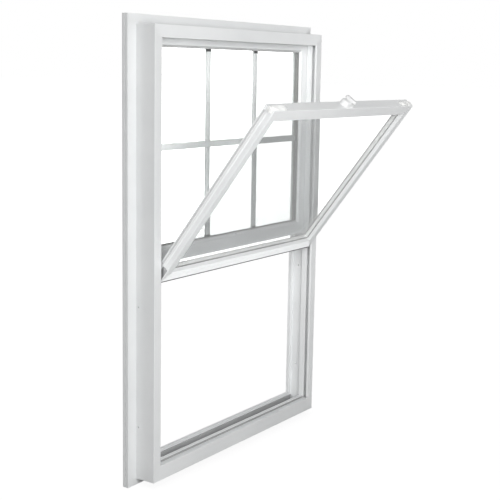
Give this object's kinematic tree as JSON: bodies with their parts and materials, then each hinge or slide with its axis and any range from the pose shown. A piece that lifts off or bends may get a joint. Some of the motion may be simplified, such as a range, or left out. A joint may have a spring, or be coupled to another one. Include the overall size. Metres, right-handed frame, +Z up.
{
  "type": "tilt-in sash window",
  "caption": "White vinyl sash window with an exterior casing, a fixed upper sash with a grid between its panes, and a lower sash that slides up and tilts in.",
  "frame": {"origin": "on the casing's flat wall face, in the middle of its sill strip", "axes": "+X to the right seen from indoors, +Y outdoors, +Z up"},
  "size_m": [0.973, 0.475, 1.3656],
  "materials": {
    "white_vinyl": "satin",
    "clear_glass": "clear",
    "grey_spacer": "satin",
    "white_plastic": "satin",
    "grey_plastic": "matte",
    "steel": "zinc plated",
    "white_aluminium": "satin",
    "white_metal": "satin"
  },
  "bodies": {
    "frame": {"left_jamb": "white_vinyl", "right_jamb": "white_vinyl", "frame_head": "white_vinyl", "frame_sill": "white_vinyl", "left_casing": "white_vinyl", "right_casing": "white_vinyl", "head_casing": "white_vinyl", "sill_casing": "white_vinyl", "upper_left_stile": "white_vinyl", "upper_right_stile": "white_vinyl", "upper_top_rail": "white_vinyl", "meeting_rail": "white_vinyl", "upper_inner_pane": "clear_glass", "upper_outer_pane": "clear_glass", "upper_spacer": "grey_spacer", "upper_grid": "white_aluminium", "lock_keeper": "white_metal"},
    "balance_shoes": {"left_balance_shoe": "grey_plastic", "right_balance_shoe": "grey_plastic"},
    "lower_sash": {"lower_left_stile": "white_vinyl", "lower_right_stile": "white_vinyl", "check_rail": "white_vinyl", "bottom_rail": "white_vinyl", "lower_inner_pane": "clear_glass", "lower_outer_pane": "clear_glass", "lower_spacer": "grey_spacer", "sash_lock_base": "white_metal", "left_pivot_bar": "steel", "right_pivot_bar": "steel"},
    "lock_lever": {"sash_lock_lever": "white_metal"},
    "left_tilt_latch": {"left_tilt_latch": "white_plastic"},
    "right_tilt_latch": {"right_tilt_latch": "white_plastic"}
  },
  "joints": [
    {"name": "lower_sash_lift", "type": "slide", "parent": "frame", "child": "balance_shoes", "axis": [0, 0, 1], "range_m": [-0.5435, 0.025]},
    {"name": "lower_sash_tilt", "type": "hinge", "parent": "balance_shoes", "child": "lower_sash", "pos_m": [0, -0.0555, 0.61625], "axis": [1, 0, 0], "range_deg": [-37, 53]},
    {"name": "lock_lever_turn", "type": "hinge", "parent": "lower_sash", "child": "lock_lever", "pos_m": [0, -0.41444, 1.11834], "axis": [0, -0.6018, 0.7986], "range_deg": [-90, 90]},
    {"name": "left_latch_slide", "type": "slide", "parent": "lower_sash", "child": "left_tilt_latch", "axis": [1, 0, 0], "range_m": [0, 0.01], "stiffness_N_per_m": 300, "springref_m": -0.005},
    {"name": "right_latch_slide", "type": "slide", "parent": "lower_sash", "child": "right_tilt_latch", "axis": [-1, 0, 0], "range_m": [0, 0.01], "stiffness_N_per_m": 300, "springref_m": -0.005}
  ]
}
